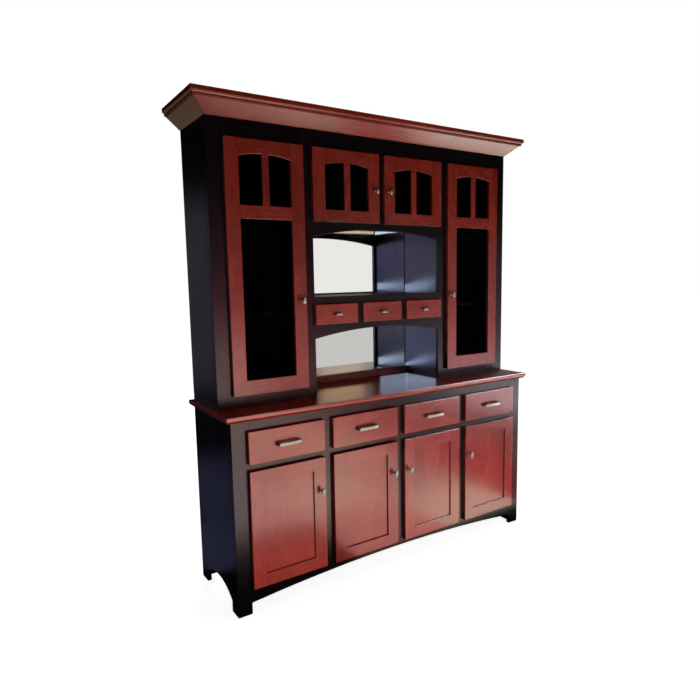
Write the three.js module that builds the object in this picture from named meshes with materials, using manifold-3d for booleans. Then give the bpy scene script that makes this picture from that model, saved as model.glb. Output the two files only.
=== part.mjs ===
// A dining dresser in two stages: a base cabinet with four doors under four drawers,
// and a hutch with glazed doors round an open niche that has a mirror back and three small drawers.
// Units are millimetres, +Z is up and the front faces -Y. All sizes are worked out with the front
// of the base's face frame at y = 0, and the finished group is then centred on the origin.

import * as THREE from 'three';
import { mergeVertices } from 'three/addons/utils/BufferGeometryUtils.js';
import Module from 'manifold-3d';

const wasm = await Module();
wasm.setup();

// Whole piece
const caseWidth = 1700;
const baseDepth = 441;
const hutchDepth = 306;
const counterHeight = 860.5;
const hutchHeight = 1273.5;

// Boards
const frameStock = 19;
const boardStock = 18;
const backStock = 6;
const gluedSeam = 0.3;
const overrun = 5;

// Fronts and the face frame that they lie on
const endReveal = 66.5;
const frontGap = 43.6;
const overlay = 12;

// Base front, from the floor up and from the counter down
const baseDoorBottom = 114;
const doorToDrawerGap = 28.6;
const drawerFrontHeight = 139.4;
const baseTopReveal = 42.5;

// Feet and arches of the base
const footWidth = 64;
const footDepth = 69;
const footHeight = 49.5;
const frontArchRise = 39;
const sideArchRise = 49.5;
const blockWidth = 43;
const blockLift = 14;

// Counter
const counterThickness = 28;
const counterOverhang = 25;
const counterEdge = 16;
const counterBevel = 11;

// Crown
const crownHeight = 85;
const crownSlopeReach = 60;
const crownBoard = 19;
const capReach = 75;
const capHeight = 33;
const capEdge = 18.5;
const capCove = 8.5;

// Hutch doors
const tallDoorLift = 50.5;
const tallDoorWidth = 362.5;
const smallDoorHeight = 319.3;
const hutchTopReveal = 75;
const nicheStileGap = 45.3;
const smallDoorGap = 30;

// Niche
const nicheOverlay = 5;
const wallSetback = 12;
const upperValanceEnd = 67.7;
const upperArchRise = 39;
const shelfLift = 457.5;
const shelfRail = 34;
const nicheFrontHeight = 92;
const nicheFrontGap = 34;
const lowerValanceEnd = 65;
const lowerArchRise = 36;
const mirrorStock = 4.6;
const mirrorRailHeight = 36;
const mirrorRailStock = 12;

// Panelled base doors
const baseStile = 61;
const baseRail = 56;
const panelSetback = 7;
const panelStock = 6;
const grooveDepth = 9;

// Glazed hutch doors
const glazedStile = 62.5;
const tallBottomRail = 64;
const smallBottomRail = 53;
const glazedMidRail = 56;
const archedRail = 56;
const paneArchRise = 15;
const muntinWidth = 32;
const glassSetback = 9;
const glassStock = 4;
const glassMargin = 8;

// Bores in the backs of the doors for concealed hinges
const hingeBoreWidth = 35;
const hingeBoreDepth = 11.5;
const hingeBoreInset = 22.5;
const hingeEndGap = 90;

// Drawer boxes
const drawerSideGap = 1.5;
const drawerHeadroom = 18;
const drawerWall = 12;
const drawerBase = 8;
const baseDrawerBackGap = 35;
const nicheDrawerBackGap = 32.8;
const guideHeight = 8;

// Knobs and pulls
const knobWidth = 20;
const knobHeight = 38;
const knobReach = 26;
const knobHead = 8;
const knobStem = 8;
const knobFoot = 15;
const knobInset = 25;
const baseKnobDrop = 150;
const tallKnobLift = 398;
const smallKnobLift = 154;
const pullLength = 119;
const pullHeight = 19;
const nichePullLength = 44;
const nichePullHeight = 15;
const pullReach = 27;
const nichePullReach = 21;
const pullBand = 4.5;

// Heights worked out from the sizes above
const caseTop = counterHeight - counterThickness;
const drawerTop = caseTop - baseTopReveal;
const drawerBottom = drawerTop - drawerFrontHeight;
const baseDoorTop = drawerBottom - doorToDrawerGap;
const deckTop = drawerBottom + overlay;
const baseFloorTop = baseDoorBottom + overlay;
const totalHeight = counterHeight + hutchHeight;
const hutchTop = totalHeight - capHeight;
const crownBottom = totalHeight - crownHeight;
const hutchDoorTop = crownBottom - hutchTopReveal;
const tallDoorBottom = counterHeight + tallDoorLift;
const smallDoorBottom = hutchDoorTop - smallDoorHeight;
const shelfTop = counterHeight + shelfLift;
const nicheFrontTop = shelfTop - shelfRail;
const nicheFrontBottom = nicheFrontTop - nicheFrontHeight;
const upperArchEnd = smallDoorBottom - upperValanceEnd;
const lowerArchEnd = nicheFrontBottom - lowerValanceEnd;
const upperPaneBottom = smallDoorBottom + smallBottomRail;

// Places across the width
const halfCase = caseWidth / 2;
const sideInner = halfCase - frameStock;
const nicheFrontEdge = halfCase - endReveal - tallDoorWidth - nicheStileGap;
const nicheEdge = nicheFrontEdge - nicheOverlay;
const wallInner = nicheEdge + wallSetback;
const wallOuter = wallInner + boardStock;

// Places front to back
const hutchFront = baseDepth - hutchDepth;
const backInner = baseDepth - backStock;
const mirrorFace = backInner - gluedSeam - mirrorStock;
const nicheCaseBack = mirrorFace - gluedSeam;
const baseFrontFace = -gluedSeam - frameStock;
const hutchFrontFace = hutchFront + baseFrontFace;

const finishes = {
  ebony: { color: 0x15131a, roughness: 0.32, metalness: 0 },
  cherry: { color: 0x7a2c1d, roughness: 0.3, metalness: 0 },
  birch: { color: 0xc9a878, roughness: 0.6, metalness: 0 },
  glass: { color: 0x0a0a0c, roughness: 0.05, metalness: 0 },
  mirror: { color: 0xe8e8e8, roughness: 0.03, metalness: 1 },
  nickel: { color: 0xb5afa6, roughness: 0.3, metalness: 1 },
};

const group = new THREE.Group();

function addPiece(name, geometry, finish) {
  const mesh = new THREE.Mesh(geometry, new THREE.MeshStandardMaterial(finishes[finish]));
  mesh.name = name;
  group.add(mesh);
  return mesh;
}

// Joins and cuts

function toSolid(geometry) {
  const bare = geometry.clone();
  bare.deleteAttribute('normal');
  bare.deleteAttribute('uv');
  const merged = mergeVertices(bare);
  return new wasm.Manifold(new wasm.Mesh({
    numProp: 3,
    vertProperties: Float32Array.from(merged.attributes.position.array),
    triVerts: Uint32Array.from(merged.index.array),
  }));
}

function toGeometry(solid) {
  const mesh = solid.getMesh();
  const geometry = new THREE.BufferGeometry();
  geometry.setAttribute('position', new THREE.BufferAttribute(mesh.vertProperties, 3));
  geometry.setIndex(new THREE.BufferAttribute(mesh.triVerts, 1));
  geometry.computeVertexNormals();
  return geometry;
}

// Outlines

function rectangle(left, bottom, right, top) {
  const outline = new THREE.Shape();
  outline.moveTo(left, bottom);
  outline.lineTo(right, bottom);
  outline.lineTo(right, top);
  outline.lineTo(left, top);
  outline.closePath();
  return outline;
}

// Draws a flat arch from the pen's place to (toX, springing), rising in the middle
function archTo(outline, fromX, toX, springing, rise) {
  const halfSpan = Math.abs(toX - fromX) / 2;
  const radius = (halfSpan ** 2 + rise ** 2) / (2 * rise);
  const centre = (fromX + toX) / 2;
  const spread = Math.asin(halfSpan / radius);
  const rightwards = toX > fromX;
  const start = Math.PI / 2 + (rightwards ? spread : -spread);
  const end = Math.PI / 2 + (rightwards ? -spread : spread);
  outline.absarc(centre, springing + rise - radius, radius, start, end, rightwards);
}

// Height of the same arch at one place along it
function archHeight(x, left, right, springing, rise) {
  const halfSpan = (right - left) / 2;
  const radius = (halfSpan ** 2 + rise ** 2) / (2 * rise);
  const fromCentre = x - (left + right) / 2;
  return springing + rise - radius + Math.sqrt(radius ** 2 - fromCentre ** 2);
}

// Boards cut from an outline

const alongX = new THREE.Vector3(1, 0, 0);
const alongY = new THREE.Vector3(0, 1, 0);
const alongZ = new THREE.Vector3(0, 0, 1);

function extrude(outline, depth, curveSegments) {
  return new THREE.ExtrudeGeometry(outline, { depth, bevelEnabled: false, curveSegments });
}

// An outline drawn in x and z, with its thickness front to back
function frontBoard(outline, front, back, curveSegments = 12) {
  const stand = new THREE.Matrix4().makeBasis(alongX, alongZ, alongY.clone().negate());
  stand.setPosition(0, back, 0);
  return extrude(outline, back - front, curveSegments).applyMatrix4(stand);
}

// An outline drawn in y and z, with its thickness left to right
function sideBoard(outline, left, right, curveSegments = 12) {
  const stand = new THREE.Matrix4().makeBasis(alongY, alongZ, alongX);
  stand.setPosition(left, 0, 0);
  return extrude(outline, right - left, curveSegments).applyMatrix4(stand);
}

// An outline drawn in x and y, with its thickness bottom to top
function flatBoard(outline, bottom, top, curveSegments = 12) {
  return extrude(outline, top - bottom, curveSegments).translate(0, 0, bottom);
}

function block(left, right, front, back, bottom, top) {
  return flatBoard(rectangle(left, front, right, back), bottom, top);
}

// An upright board with windows cut right through it
function frontFrame(outline, windows, front, back) {
  let frame = toSolid(frontBoard(outline, front, back));
  for (const window of windows) {
    frame = frame.subtract(toSolid(frontBoard(window, front - overrun, back + overrun)));
  }
  return frame;
}

// Mouldings

// Runs a profile round the front and both ends of a slab, mitred at the front corners.
// Each profile point holds how far it stands out and its height, from the top down.
function mitredSlab(profile, halfWidth, front, back) {
  const reach = Math.max(...profile.map((point) => point.x)) + overrun;
  const top = profile[0].y;
  const bottom = profile[profile.length - 1].y;
  const frontSection = new THREE.Shape([
    new THREE.Vector2(back, bottom),
    new THREE.Vector2(back, top),
    ...profile.map((point) => new THREE.Vector2(front - point.x, point.y)),
  ]);
  const endSection = new THREE.Shape([
    ...profile.map((point) => new THREE.Vector2(-halfWidth - point.x, point.y)),
    ...profile.map((point) => new THREE.Vector2(halfWidth + point.x, point.y)).reverse(),
  ]);
  const lengthways = sideBoard(frontSection, -halfWidth - reach, halfWidth + reach);
  const crossways = frontBoard(endSection, front - reach, back + overrun);
  return toSolid(lengthways).intersect(toSolid(crossways));
}

// The four columns of fronts on the base, and the three on the niche

function columns(count, leftEdge, rightEdge, gap) {
  const width = (rightEdge - leftEdge - (count - 1) * gap) / count;
  return Array.from({ length: count }, (_, index) => {
    const left = leftEdge + index * (width + gap);
    return { left, right: left + width };
  });
}

const baseColumns = columns(4, -halfCase + endReveal, halfCase - endReveal, frontGap);
const nicheColumns = columns(3, -nicheFrontEdge, nicheFrontEdge, nicheFrontGap);

// Base case

function addBaseFaceFrame() {
  const footInner = halfCase - footWidth;
  const outline = new THREE.Shape();
  outline.moveTo(-halfCase, 0);
  outline.lineTo(-footInner, 0);
  outline.lineTo(-footInner, footHeight);
  archTo(outline, -footInner, footInner, footHeight, frontArchRise);
  outline.lineTo(footInner, 0);
  outline.lineTo(halfCase, 0);
  outline.lineTo(halfCase, caseTop - gluedSeam);
  outline.lineTo(-halfCase, caseTop - gluedSeam);
  outline.closePath();
  const windows = baseColumns.flatMap(({ left, right }) => [
    rectangle(left + overlay, baseFloorTop, right - overlay, baseDoorTop - overlay),
    rectangle(left + overlay, deckTop, right - overlay, drawerTop - overlay),
  ]);
  addPiece('base_face_frame', toGeometry(frontFrame(outline, windows, 0, frameStock)), 'ebony');
}

// A side panel stands on its front and rear feet, each stiffened inside by a short corner block
function addBaseSide(name, hand) {
  const front = frameStock + gluedSeam;
  const rearFoot = baseDepth - footDepth;
  const outline = new THREE.Shape();
  outline.moveTo(front, 0);
  outline.lineTo(footDepth, 0);
  outline.lineTo(footDepth, footHeight);
  archTo(outline, footDepth, rearFoot, footHeight, sideArchRise);
  outline.lineTo(rearFoot, 0);
  outline.lineTo(baseDepth, 0);
  outline.lineTo(baseDepth, caseTop - gluedSeam);
  outline.lineTo(front, caseTop - gluedSeam);
  outline.closePath();
  const blockTop = baseFloorTop - boardStock - gluedSeam;
  const blockInner = sideInner - blockWidth;
  const blockOuter = sideInner + frameStock / 2;
  let panel = toSolid(sideBoard(outline, sideInner, halfCase));
  for (const start of [front, baseDepth - blockWidth]) {
    const cornerBlock = block(blockInner, blockOuter, start, start + blockWidth, blockLift, blockTop);
    panel = panel.add(toSolid(cornerBlock));
  }
  addPiece(name, mirrored(toGeometry(panel), hand), 'ebony');
}

// The same piece for the other hand, with its faces turned the right way out again
function mirrored(geometry, hand) {
  if (hand > 0) return geometry;
  const flipped = geometry.index ? geometry.toNonIndexed() : geometry.clone();
  flipped.scale(-1, 1, 1);
  const places = flipped.attributes.position;
  for (let corner = 0; corner < places.count; corner += 3) {
    const second = new THREE.Vector3().fromBufferAttribute(places, corner + 1);
    const third = new THREE.Vector3().fromBufferAttribute(places, corner + 2);
    places.setXYZ(corner + 1, third.x, third.y, third.z);
    places.setXYZ(corner + 2, second.x, second.y, second.z);
  }
  flipped.computeVertexNormals();
  return flipped;
}

function addBaseInside() {
  const front = frameStock + gluedSeam;
  const back = backInner - gluedSeam;
  const reach = sideInner - gluedSeam;
  const floor = block(-reach, reach, front, back, baseFloorTop - boardStock, baseFloorTop);
  addPiece('base_floor', floor, 'ebony');
  const deck = block(-reach, reach, front, back, deckTop - boardStock, deckTop);
  addPiece('base_drawer_deck', toGeometry(withGuides(toSolid(deck), front, back, reach)), 'birch');
  const partition = block(
    -boardStock / 2, boardStock / 2, front, back,
    baseFloorTop + gluedSeam, deckTop - boardStock - gluedSeam,
  );
  addPiece('base_partition', partition, 'ebony');
  const backOutline = rectangle(-reach, baseFloorTop - boardStock, reach, caseTop - gluedSeam);
  addPiece('base_back_panel', frontBoard(backOutline, backInner, baseDepth), 'ebony');
}

// Guide strips stand on the deck behind each stile and keep the drawers running straight
function withGuides(deck, front, back, reach) {
  const openings = baseColumns.map(({ left, right }) => [left + overlay, right - overlay]);
  const edges = [-reach, ...openings.flat(), reach];
  const sunk = deckTop - boardStock / 2;
  let guided = deck;
  for (let strip = 0; strip < edges.length; strip += 2) {
    const guide = block(edges[strip], edges[strip + 1], front, back, sunk, deckTop + guideHeight);
    guided = guided.add(toSolid(guide));
  }
  return guided;
}

// Counter with a square edge that is bevelled back underneath

function addCountertop() {
  const bottom = caseTop;
  const profile = [
    new THREE.Vector2(counterOverhang, counterHeight),
    new THREE.Vector2(counterOverhang, counterHeight - counterEdge),
    new THREE.Vector2(counterOverhang - counterBevel, bottom),
  ];
  addPiece('countertop', toGeometry(mitredSlab(profile, halfCase, 0, baseDepth)), 'cherry');
}

// Hutch case

const hutchBottom = counterHeight + gluedSeam;
const hutchBoardTop = hutchTop - gluedSeam;
const hutchInsideFront = hutchFront + frameStock + gluedSeam;
const hutchInsideBack = backInner - gluedSeam;
const tallOpening = {
  inner: nicheFrontEdge + nicheStileGap + overlay,
  outer: halfCase - endReveal - overlay,
};
const smallColumns = columns(2, -nicheFrontEdge, nicheFrontEdge, smallDoorGap);

function addHutchFaceFrame() {
  const outline = new THREE.Shape();
  outline.moveTo(-halfCase, hutchBottom);
  outline.lineTo(-nicheEdge, hutchBottom);
  outline.lineTo(-nicheEdge, lowerArchEnd);
  archTo(outline, -nicheEdge, nicheEdge, lowerArchEnd, lowerArchRise);
  outline.lineTo(nicheEdge, hutchBottom);
  outline.lineTo(halfCase, hutchBottom);
  outline.lineTo(halfCase, hutchBoardTop);
  outline.lineTo(-halfCase, hutchBoardTop);
  outline.closePath();
  const { inner, outer } = tallOpening;
  const smallInner = smallDoorGap / 2 + overlay;
  const doorBottom = tallDoorBottom + overlay;
  const smallBottom = smallDoorBottom + overlay;
  const doorTop = hutchDoorTop - overlay;
  const niche = new THREE.Shape();
  niche.moveTo(-nicheEdge, shelfTop);
  niche.lineTo(nicheEdge, shelfTop);
  niche.lineTo(nicheEdge, upperArchEnd);
  archTo(niche, nicheEdge, -nicheEdge, upperArchEnd, upperArchRise);
  niche.closePath();
  const windows = [
    rectangle(-outer, doorBottom, -inner, doorTop),
    rectangle(inner, doorBottom, outer, doorTop),
    rectangle(-nicheEdge, smallBottom, -smallInner, doorTop),
    rectangle(smallInner, smallBottom, nicheEdge, doorTop),
    niche,
    ...nicheColumns.map(({ left, right }) => rectangle(
      left + nicheOverlay, nicheFrontBottom + nicheOverlay,
      right - nicheOverlay, nicheFrontTop - nicheOverlay,
    )),
  ];
  const frame = frontFrame(outline, windows, hutchFront, hutchFront + frameStock);
  addPiece('hutch_face_frame', toGeometry(frame), 'ebony');
}

function addHutchSides() {
  const outline = rectangle(hutchInsideFront, hutchBottom, baseDepth, hutchBoardTop);
  addPiece('hutch_side_left', sideBoard(outline, -halfCase, -sideInner), 'ebony');
  addPiece('hutch_side_right', sideBoard(outline, sideInner, halfCase), 'ebony');
  const wall = rectangle(hutchInsideFront, hutchBottom, hutchInsideBack, hutchBoardTop);
  addPiece('niche_wall_left', sideBoard(wall, -wallOuter, -wallInner), 'ebony');
  addPiece('niche_wall_right', sideBoard(wall, wallInner, wallOuter), 'ebony');
  const reach = sideInner - gluedSeam;
  const back = rectangle(-reach, hutchBottom, reach, hutchBoardTop);
  addPiece('hutch_back_panel', frontBoard(back, backInner, baseDepth), 'ebony');
}

function addHutchFloors() {
  const inner = wallOuter + gluedSeam;
  const outer = sideInner - gluedSeam;
  const reach = wallInner - gluedSeam;
  const tallTop = tallDoorBottom + overlay;
  const smallTop = smallDoorBottom + overlay;
  const addFloor = (name, left, right, top) => {
    const floor = block(left, right, hutchInsideFront, hutchInsideBack, top - boardStock, top);
    addPiece(name, floor, 'ebony');
  };
  addFloor('tall_cabinet_floor_left', -outer, -inner, tallTop);
  addFloor('tall_cabinet_floor_right', inner, outer, tallTop);
  addFloor('upper_cabinet_floor', -reach, reach, smallTop);
}

// Niche: a mirror behind it, a rail along the mirror's foot and a case for the three drawers

function addNiche() {
  const reach = wallInner - gluedSeam;
  const smallFloorBottom = smallDoorBottom + overlay - boardStock;
  const glass = rectangle(-reach, hutchBottom, reach, smallFloorBottom - gluedSeam);
  addPiece('mirror', frontBoard(glass, mirrorFace, mirrorFace + mirrorStock), 'mirror');
  const railFront = nicheCaseBack - mirrorRailStock;
  const railTop = hutchBottom + mirrorRailHeight;
  const rail = block(-reach, reach, railFront, nicheCaseBack, hutchBottom, railTop);
  addPiece('mirror_rail', rail, 'cherry');
  const cellBottom = nicheFrontBottom + nicheOverlay;
  const outline = rectangle(-reach, cellBottom - boardStock, reach, shelfTop);
  const cells = nicheColumns.map(({ left, right }) => (
    rectangle(left + nicheOverlay, cellBottom, right - nicheOverlay, shelfTop - boardStock)
  ));
  const drawerCase = frontFrame(outline, cells, hutchInsideFront, nicheCaseBack);
  addPiece('niche_drawer_case', toGeometry(drawerCase), 'ebony');
}

// Crown: boards leaning out round the front and ends, mitred at the corners, under a moulded cap

function addCrown() {
  const slopeTop = hutchTop - gluedSeam;
  const slope = crownSlopeReach / (slopeTop - crownBottom);
  const levelThickness = crownBoard * Math.hypot(1, slope);
  const outer = mitredSlab([
    new THREE.Vector2(crownSlopeReach, slopeTop),
    new THREE.Vector2(0, crownBottom),
  ], halfCase, hutchFront, baseDepth);
  const innerBottom = crownBottom + (levelThickness - overrun) / slope;
  const inner = mitredSlab([
    new THREE.Vector2(crownSlopeReach - levelThickness + overrun * slope, slopeTop + overrun),
    new THREE.Vector2(-overrun, innerBottom),
  ], halfCase, hutchFront, baseDepth + overrun);
  const caseRoom = block(
    -halfCase - gluedSeam, halfCase + gluedSeam, hutchFront - gluedSeam, baseDepth + overrun,
    crownBottom - overrun, slopeTop + overrun,
  );
  addPiece('crown_board', toGeometry(outer.subtract(inner).subtract(toSolid(caseRoom))), 'cherry');

  const edgeBottom = totalHeight - capEdge;
  const profile = new THREE.Path();
  profile.moveTo(capReach, totalHeight);
  profile.lineTo(capReach, edgeBottom);
  profile.absarc(capReach, edgeBottom - capCove, capCove, Math.PI / 2, Math.PI, false);
  profile.lineTo(capReach - capCove, hutchTop);
  const cap = mitredSlab(profile.getPoints(4), halfCase, hutchFront, baseDepth);
  addPiece('crown_cap', toGeometry(cap), 'cherry');
}

// Knobs and pulls

// A slender oval head, domed in front, on a round stem that flares into a foot
function addKnob(name, x, frontFace, z) {
  const flareShare = 0.2;
  const rimShare = 0.45;
  const headBack = knobReach - knobHead;
  const stemOutline = new THREE.Path();
  stemOutline.moveTo(0, 0);
  stemOutline.lineTo(knobFoot / 2, 0);
  stemOutline.quadraticCurveTo(knobStem / 2, 0, knobStem / 2, knobReach * flareShare);
  stemOutline.lineTo(knobStem / 2, headBack + knobHead / 2);
  stemOutline.lineTo(0, headBack + knobHead / 2);
  const headOutline = new THREE.Path();
  headOutline.moveTo(0, headBack);
  headOutline.quadraticCurveTo(knobWidth / 2, headBack, knobWidth / 2, headBack + knobHead * rimShare);
  headOutline.quadraticCurveTo(knobWidth / 2, knobReach, 0, knobReach);
  const stem = new THREE.LatheGeometry(stemOutline.getPoints(4), 12);
  const head = new THREE.LatheGeometry(headOutline.getPoints(5), 20);
  head.scale(1, 1, knobHeight / knobWidth);
  const turned = toGeometry(toSolid(stem).add(toSolid(head)));
  turned.rotateX(Math.PI);
  turned.translate(x, frontFace - gluedSeam, z);
  addPiece(name, turned, 'nickel');
}

// A bow pull: one flat band, rounded at both ends and a little narrower at its middle
function addPull(name, x, frontFace, z, length, height, reach) {
  const waistShare = 0.86;
  const bowShare = 0.12;
  const cornerShare = 0.6;
  const half = length / 2;
  const corner = reach * cornerShare;
  const bow = reach * bowShare;
  const plan = new THREE.Shape();
  plan.moveTo(-half, 0);
  plan.quadraticCurveTo(-half, -reach + bow, -half + corner, -reach + bow);
  plan.quadraticCurveTo(0, -reach - bow, half - corner, -reach + bow);
  plan.quadraticCurveTo(half, -reach + bow, half, 0);
  const inside = half - pullBand;
  const insideFront = -reach + bow + pullBand;
  plan.lineTo(inside, 0);
  plan.quadraticCurveTo(inside, insideFront, half - corner, insideFront);
  plan.quadraticCurveTo(0, -reach - bow + pullBand, -half + corner, insideFront);
  plan.quadraticCurveTo(-inside, insideFront, -inside, 0);
  const wide = height / 2;
  const waist = wide * waistShare;
  const face = new THREE.Shape();
  face.moveTo(-half, 0);
  face.quadraticCurveTo(-half, -wide, -half + corner, -wide);
  face.quadraticCurveTo(0, -waist * 2 + wide, half - corner, -wide);
  face.quadraticCurveTo(half, -wide, half, 0);
  face.quadraticCurveTo(half, wide, half - corner, wide);
  face.quadraticCurveTo(0, waist * 2 - wide, -half + corner, wide);
  face.quadraticCurveTo(-half, wide, -half, 0);
  const band = toSolid(flatBoard(plan, -height, height, 6));
  const shaped = band.intersect(toSolid(frontBoard(face, -reach - overrun - bow, overrun, 6)));
  addPiece(name, toGeometry(shaped).translate(x, frontFace - gluedSeam, z), 'nickel');
}

// Doors hang on concealed hinges, whose cups sit in bores in the back of the hinge stile

function withHingeBores(frame, x, heights, back) {
  const length = hingeBoreDepth + overrun;
  let bored = frame;
  for (const z of heights) {
    const bore = new THREE.CylinderGeometry(hingeBoreWidth / 2, hingeBoreWidth / 2, length, 24);
    bore.translate(x, back - hingeBoreDepth + length / 2, z);
    bored = bored.subtract(toSolid(bore));
  }
  return bored;
}

// Base doors: a flat panel held in a groove all round a frame of stiles and rails

function addBaseDoor(number, { left, right }, knobSide) {
  const back = -gluedSeam;
  const window = [left + baseStile, baseDoorBottom + baseRail, right - baseStile, baseDoorTop - baseRail];
  const outline = rectangle(left, baseDoorBottom, right, baseDoorTop);
  const panelFront = baseFrontFace + panelSetback;
  const groove = panelBlock(window, grooveDepth, panelFront - gluedSeam, panelStock + 2 * gluedSeam);
  const frame = frontFrame(outline, [rectangle(...window)], baseFrontFace, back).subtract(toSolid(groove));
  const boreX = knobSide > 0 ? left + hingeBoreInset : right - hingeBoreInset;
  const boreHeights = [baseDoorBottom + hingeEndGap, baseDoorTop - hingeEndGap];
  const bored = withHingeBores(frame, boreX, boreHeights, back);
  addPiece(`base_door_${number}_frame`, toGeometry(bored), 'cherry');
  const panel = panelBlock(window, grooveDepth - gluedSeam, panelFront, panelStock);
  addPiece(`base_door_${number}_panel`, panel, 'cherry');
  const knobX = knobSide > 0 ? right - knobInset : left + knobInset;
  addKnob(`base_door_${number}_knob`, knobX, baseFrontFace, baseDoorTop - baseKnobDrop);
}

// A sheet that reaches past a window on every side
function panelBlock([left, bottom, right, top], margin, front, thickness) {
  return block(left - margin, right + margin, front, front + thickness, bottom - margin, top + margin);
}

// Hutch doors: arched lights over a muntin, with one sheet of glass in a rebate behind the bars

function archedLights(left, right, bottom, top) {
  const springing = top - archedRail - paneArchRise;
  const middle = (left + right) / 2;
  const edges = [[left, middle - muntinWidth / 2], [middle + muntinWidth / 2, right]];
  return edges.map(([lightLeft, lightRight]) => {
    const light = new THREE.Shape();
    const steps = 6;
    light.moveTo(lightLeft, bottom);
    light.lineTo(lightRight, bottom);
    for (let step = 0; step <= steps; step += 1) {
      const x = lightRight + (lightLeft - lightRight) * (step / steps);
      light.lineTo(x, archHeight(x, left, right, springing, paneArchRise));
    }
    light.closePath();
    return light;
  });
}

function addGlazedDoor(name, left, right, bottom, isTall, knobX, knobZ) {
  const top = hutchDoorTop;
  const back = hutchFront - gluedSeam;
  const innerLeft = left + glazedStile;
  const innerRight = right - glazedStile;
  const sightBottom = isTall ? bottom + tallBottomRail : upperPaneBottom;
  const outline = rectangle(left, bottom, right, top);
  const windows = archedLights(innerLeft, innerRight, upperPaneBottom, top);
  if (isTall) windows.push(rectangle(innerLeft, sightBottom, innerRight, upperPaneBottom - glazedMidRail));
  const sight = [innerLeft, sightBottom, innerRight, top - archedRail];
  const glassFront = hutchFrontFace + glassSetback;
  const slotDepth = glassStock + 2 * gluedSeam;
  const slot = panelBlock(sight, glassMargin + gluedSeam, glassFront - gluedSeam, slotDepth);
  const opening = panelBlock(sight, 0, glassFront, frameStock);
  const frame = frontFrame(outline, windows, hutchFrontFace, back)
    .subtract(toSolid(slot))
    .subtract(toSolid(opening));
  const hingedLeft = knobX > (left + right) / 2;
  const boreX = hingedLeft ? left + hingeBoreInset : right - hingeBoreInset;
  const boreHeights = [bottom + hingeEndGap, top - hingeEndGap];
  if (isTall) boreHeights.push((bottom + top) / 2);
  addPiece(`${name}_frame`, toGeometry(withHingeBores(frame, boreX, boreHeights, back)), 'cherry');
  addPiece(`${name}_glass`, panelBlock(sight, glassMargin, glassFront, glassStock), 'glass');
  addKnob(`${name}_knob`, knobX, hutchFrontFace, knobZ);
}

function addHutchDoors() {
  const outer = halfCase - endReveal;
  const inner = outer - tallDoorWidth;
  const tallKnobX = inner + knobInset;
  const tallKnobZ = tallDoorBottom + tallKnobLift;
  addGlazedDoor('tall_door_left', -outer, -inner, tallDoorBottom, true, -tallKnobX, tallKnobZ);
  addGlazedDoor('tall_door_right', inner, outer, tallDoorBottom, true, tallKnobX, tallKnobZ);
  const [leftDoor, rightDoor] = smallColumns;
  const smallKnobZ = smallDoorBottom + smallKnobLift;
  addGlazedDoor(
    'small_door_left', leftDoor.left, leftDoor.right, smallDoorBottom, false,
    leftDoor.right - knobInset, smallKnobZ,
  );
  addGlazedDoor(
    'small_door_right', rightDoor.left, rightDoor.right, smallDoorBottom, false,
    rightDoor.left + knobInset, smallKnobZ,
  );
}

// Drawers: a slab front with an open box behind it

function drawerSolid(front, box) {
  const slab = block(front.left, front.right, front.face, front.face + frameStock, front.bottom, front.top);
  const body = block(box.left, box.right, front.face + frameStock / 2, box.back, box.bottom, box.top);
  const room = block(
    box.left + drawerWall, box.right - drawerWall,
    front.face + frameStock + drawerWall, box.back - drawerWall,
    box.bottom + drawerBase, box.top + overrun,
  );
  return toSolid(slab).add(toSolid(body)).subtract(toSolid(room));
}

function addBaseDrawer(number, { left, right }) {
  const front = { left, right, face: baseFrontFace, bottom: drawerBottom, top: drawerTop };
  const box = {
    left: left + overlay + drawerSideGap,
    right: right - overlay - drawerSideGap,
    back: backInner - baseDrawerBackGap,
    bottom: deckTop + gluedSeam,
    top: drawerTop - overlay - drawerHeadroom,
  };
  addPiece(`base_drawer_${number}`, toGeometry(drawerSolid(front, box)), 'cherry');
  const middle = (left + right) / 2;
  const height = (drawerBottom + drawerTop) / 2;
  addPull(`base_drawer_${number}_pull`, middle, baseFrontFace, height, pullLength, pullHeight, pullReach);
}

function addNicheDrawer(number, { left, right }) {
  const front = { left, right, face: hutchFrontFace, bottom: nicheFrontBottom, top: nicheFrontTop };
  const box = {
    left: left + nicheOverlay + drawerSideGap,
    right: right - nicheOverlay - drawerSideGap,
    back: nicheCaseBack - mirrorRailStock - nicheDrawerBackGap,
    bottom: nicheFrontBottom + nicheOverlay + gluedSeam,
    top: nicheFrontTop - nicheOverlay - drawerHeadroom,
  };
  addPiece(`niche_drawer_${number}`, toGeometry(drawerSolid(front, box)), 'cherry');
  const middle = (left + right) / 2;
  const height = (nicheFrontBottom + nicheFrontTop) / 2;
  addPull(
    `niche_drawer_${number}_pull`, middle, hutchFrontFace, height,
    nichePullLength, nichePullHeight, nichePullReach,
  );
}

addBaseFaceFrame();
addBaseSide('base_side_left', -1);
addBaseSide('base_side_right', 1);
addBaseInside();
addCountertop();
addHutchFaceFrame();
addHutchSides();
addHutchFloors();
addNiche();
addCrown();
baseColumns.forEach((column, index) => addBaseDoor(index + 1, column, index < 2 ? 1 : -1));
baseColumns.forEach((column, index) => addBaseDrawer(index + 1, column));
addHutchDoors();
nicheColumns.forEach((column, index) => addNicheDrawer(index + 1, column));

// Centre the piece front to back between the pulls and the back
const foremost = baseFrontFace - gluedSeam - pullReach;
group.position.y = -(baseDepth + foremost) / 2;

export default group;
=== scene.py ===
import math
import bmesh
import bpy
from mathutils import Matrix, Vector


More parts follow.
